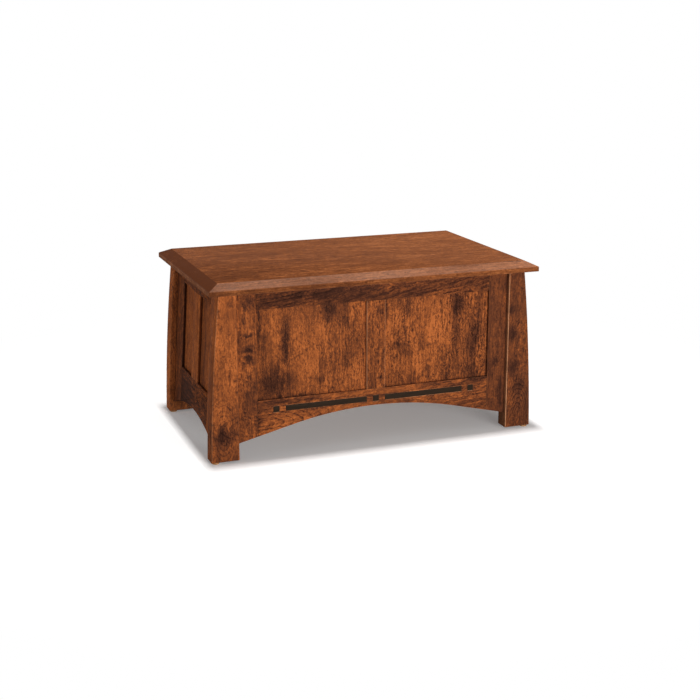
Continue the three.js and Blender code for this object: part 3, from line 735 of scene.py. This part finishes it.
def screw_tree():
    """A field of slotted screw heads, one on each point, and the identifiers of its inputs."""
    tree = bpy.data.node_groups.new("screw_heads", "GeometryNodeTree")
    face = tree.interface
    face.new_socket("Geometry", in_out="INPUT", socket_type="NodeSocketGeometry")
    inputs = {"Head Height": "Float", "Slot Width": "Float", "Slot Depth": "Float", "Material": "Material"}
    sockets = {}
    for name, kind in inputs.items():
        sockets[name] = face.new_socket(name, in_out="INPUT", socket_type="NodeSocket" + kind).identifier
    face.new_socket("Geometry", in_out="OUTPUT", socket_type="NodeSocketGeometry")
    graph = Graph(tree)
    given = graph.add("NodeGroupInput").outputs
    radius = graph.point_attribute("head_radius", "FLOAT")
    scale = graph.add("ShaderNodeCombineXYZ", {"X": radius, "Y": radius, "Z": 1.0}).outputs[0]
    points = graph.add("GeometryNodeMeshToPoints", {"Mesh": given["Geometry"]}).outputs[0]
    spread = graph.add("GeometryNodeInstanceOnPoints", {
        "Points": points, "Instance": slotted_head(graph, given), "Rotation": head_turn(graph),
        "Scale": scale,
    }).outputs[0]
    real = graph.add("GeometryNodeRealizeInstances", {0: spread}).outputs[0]
    painted = graph.add("GeometryNodeSetMaterial", {"Geometry": real, "Material": given["Material"]})
    graph.put(painted.outputs[0], graph.add("NodeGroupOutput").inputs[0])
    return tree, sockets


screw_heads, screw_inputs = screw_tree()


def add_screws(name, screws, body, rng):
    """Makes one piece of screw heads, from (place, facing, head radius) rows."""
    mesh = bpy.data.meshes.new(name + "_places")
    mesh.from_pydata([place + facing * SCREW_HEAD_HEIGHT / 2 for place, facing, _ in screws], [], [])
    facings = mesh.attributes.new("facing", "FLOAT_VECTOR", "POINT").data
    facings.foreach_set("vector", [part for _, facing, _ in screws for part in facing])
    add_numbers(mesh, "head_radius", "POINT", [radius for *_, radius in screws])
    add_numbers(mesh, "twist", "POINT", [rng.uniform(0, math.pi) for _ in screws])
    piece = bpy.data.objects.new(name, mesh)
    bpy.context.scene.collection.objects.link(piece)
    field = piece.modifiers.new("screw heads", "NODES")
    field.node_group = screw_heads
    field[screw_inputs["Head Height"]] = SCREW_HEAD_HEIGHT
    field[screw_inputs["Slot Width"]] = SCREW_SLOT_WIDTH
    field[screw_inputs["Slot Depth"]] = SCREW_SLOT_DEPTH
    field[screw_inputs["Material"]] = screw_brass
    plain_mesh(piece, name)
    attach(piece, body)


def spaced(low, high, count, margin):
    """Places between two ends, the same distance apart and a margin away from each end."""
    step = (high - low - 2 * margin) / (count - 1)
    return [low + margin + step * i for i in range(count)]


def hinge_screws():
    """Screws through the case leaves into the back, and through the lid leaves into the lid."""
    case, lid = [], []
    for end in ("left", "center", "right"):
        low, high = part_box(f"hinge_{end}_case_leaf")
        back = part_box("back_top_rail")[1].y + CASE_LEAF_STAND_OUT
        for x in spaced(low.x, high.x, HINGE_SCREW_COUNT, HINGE_SCREW_MARGIN):
            z = low.z + CASE_LEAF_SCREW_RISES[len(case) % 2]
            case.append((Vector((x, back, z)), Vector((0, 1, 0)), HINGE_SCREW_RADIUS))
        low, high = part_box(f"hinge_{end}_lid_leaf")
        for x in spaced(low.x, high.x, HINGE_SCREW_COUNT, HINGE_SCREW_MARGIN):
            place = Vector((x, high.y - LID_LEAF_SCREW_INSET, high.z - LID_LEAF_THICKNESS))
            lid.append((place, Vector((0, 0, -1)), HINGE_SCREW_RADIUS))
    return case, lid


def batten_screws():
    """Screws through the battens up into the lid, staggered to both sides of each batten's middle."""
    screws = []
    for end in ("left", "right"):
        low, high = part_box(f"lid_batten_{end}")
        for index, y in enumerate(spaced(low.y, high.y, BATTEN_SCREW_COUNT, BATTEN_SCREW_MARGIN)):
            aside = BATTEN_SCREW_STAGGER if index % 2 else -BATTEN_SCREW_STAGGER
            x = (low.x + high.x) / 2 + aside
            screws.append((Vector((x, y, low.z)), Vector((0, 0, -1)), WOOD_SCREW_RADIUS))
    return screws


def cleat_screws():
    """Screws through the cleats that carry the floor, driven outwards into the lower rails."""
    screws = []
    facings = {"front": (0, 1, 0), "back": (0, -1, 0), "left": (1, 0, 0), "right": (-1, 0, 0)}
    for end, facing in facings.items():
        low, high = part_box(f"floor_cleat_{end}")
        run = 0 if end in ("front", "back") else 1
        out = 1 - run
        count = LONG_CLEAT_SCREW_COUNT if run == 0 else SHORT_CLEAT_SCREW_COUNT
        for step in spaced(low[run], high[run], count, CLEAT_SCREW_MARGIN):
            place = (low + high) / 2
            place[run] = step
            place[out] = high[out] if facing[out] > 0 else low[out]
            screws.append((place, Vector(facing), WOOD_SCREW_RADIUS))
    return screws


def make_camera():
    """The camera of the picture, from where it looks and how it is turned, pitched and rolled."""
    turn, pitch, roll = (math.radians(angle) for angle in (CAMERA_TURN, CAMERA_PITCH, CAMERA_ROLL))
    back = Vector((math.sin(turn) * math.cos(pitch), -math.cos(turn) * math.cos(pitch), math.sin(pitch)))
    level = Vector((0, 0, 1)).cross(back).normalized()
    rise = back.cross(level)
    right = math.cos(roll) * level + math.sin(roll) * rise
    up = math.cos(roll) * rise - math.sin(roll) * level
    data = bpy.data.cameras.new("camera")
    data.sensor_width = SENSOR_WIDTH
    data.lens = CAMERA_FOCUS_PIXELS * SENSOR_WIDTH / PICTURE_SIDE
    camera = bpy.data.objects.new("camera", data)
    bpy.context.scene.collection.objects.link(camera)
    place = Vector(CAMERA_TARGET) + back * CAMERA_DISTANCE
    camera.matrix_world = Matrix.Translation(place) @ Matrix((right, up, back)).transposed().to_4x4()
    bpy.context.scene.camera = camera


def add_lamp(name, level, place, size, aim=None):
    """A rectangular soft lamp that shines straight down, or at the place that it is aimed at."""
    data = bpy.data.lights.new(name, "AREA")
    data.energy = level
    data.shape, data.size, data.size_y = "RECTANGLE", *size
    lamp = bpy.data.objects.new(name, data)
    bpy.context.scene.collection.objects.link(lamp)
    lamp.location = place
    if aim:
        lamp.rotation_mode = "QUATERNION"
        lamp.rotation_quaternion = (Vector(aim) - Vector(place)).to_track_quat("-Z", "Y")


def seen_directly(graph):
    """1 for rays from the camera, and for those that gloss or clear things send on."""
    path = graph.add("ShaderNodeLightPath").outputs
    mirrored = graph.math("MAXIMUM", path["Is Glossy Ray"], path["Is Transmission Ray"])
    return graph.math("MAXIMUM", path["Is Camera Ray"], mirrored)


def make_sky():
    """A soft grey sky that the camera and the glossy faces see as white."""
    world = bpy.data.worlds.new("sky")
    world.use_nodes = True
    world.node_tree.nodes.clear()
    graph = Graph(world.node_tree)
    soft = graph.add("ShaderNodeBackground", {"Color": WHITE, "Strength": SKY_LEVEL}).outputs[0]
    white = graph.add("ShaderNodeBackground", {"Color": WHITE, "Strength": 1.0}).outputs[0]
    mixed = graph.add("ShaderNodeMixShader", {0: seen_directly(graph), 1: soft, 2: white}).outputs[0]
    graph.add("ShaderNodeOutputWorld", {"Surface": mixed})
    bpy.context.scene.world = world


def floor_material():
    """A pale ground that shows the chest's shadow and runs out into white."""
    material, graph = new_material("pale_floor")
    place = graph.add("ShaderNodeTexCoord").outputs["Object"]
    distance = graph.vector("LENGTH", place).outputs["Value"]
    far = faded(graph, distance, FLOOR_FADE)
    lit = graph.add("ShaderNodeBsdfDiffuse", {"Color": FLOOR_ALBEDO}).outputs[0]
    glow = graph.add("ShaderNodeEmission", {"Color": FLOOR_GLOW, "Strength": 1.0}).outputs[0]
    near = graph.add("ShaderNodeAddShader", {0: lit, 1: glow}).outputs[0]
    white = graph.add("ShaderNodeEmission", {"Color": WHITE, "Strength": 1.0}).outputs[0]
    shown = graph.add("ShaderNodeMixShader", {0: far, 1: near, 2: white}).outputs[0]
    seen = graph.add("ShaderNodeLightPath").outputs["Is Camera Ray"]
    bounce = graph.add("ShaderNodeBsdfDiffuse", {"Color": FLOOR_BOUNCE}).outputs[0]
    mixed = graph.add("ShaderNodeMixShader", {0: seen, 1: bounce, 2: shown}).outputs[0]
    close_material(graph, mixed)
    return material


def make_floor():
    """The round floor under the chest."""
    shape = bmesh.new()
    bmesh.ops.create_circle(shape, cap_ends=True, segments=FLOOR_SIDES, radius=FLOOR_RADIUS)
    mesh = bpy.data.meshes.new("floor")
    shape.to_mesh(mesh)
    shape.free()
    mesh.materials.append(floor_material())
    floor = bpy.data.objects.new("floor", mesh)
    bpy.context.scene.collection.objects.link(floor)


def dress_all():
    """Dresses every CAD node with a finished piece, and adds the screws."""
    rng = random.Random(BOARD_SEED)
    slots = {row["node"]: row.get("material_slot") for row in frame["record"]["subparts"]}
    for body, nodes in frame["record"]["behaviour"]["bodies"].items():
        for node in nodes:
            dress(node, slots[node], body, rng)
    case_hinge, lid_hinge = hinge_screws()
    add_screws("hinge_screws_case", case_hinge, "case", rng)
    add_screws("hinge_screws_lid", lid_hinge, "lid", rng)
    add_screws("batten_screws", batten_screws(), "lid", rng)
    add_screws("cleat_screws", cleat_screws(), "case", rng)


make_camera()
make_sky()
make_floor()
add_lamp("overhead_lamp", OVERHEAD_LEVEL, OVERHEAD_PLACE, OVERHEAD_SIZE)
add_lamp("front_lamp", FRONT_LAMP_LEVEL, FRONT_LAMP_PLACE, FRONT_LAMP_SIZE, aim=LAMP_AIM)
add_lamp("side_lamp", SIDE_LAMP_LEVEL, SIDE_LAMP_PLACE, SIDE_LAMP_SIZE, aim=LAMP_AIM)
dress_all()

bpy.context.scene.view_settings.view_transform = "Standard"
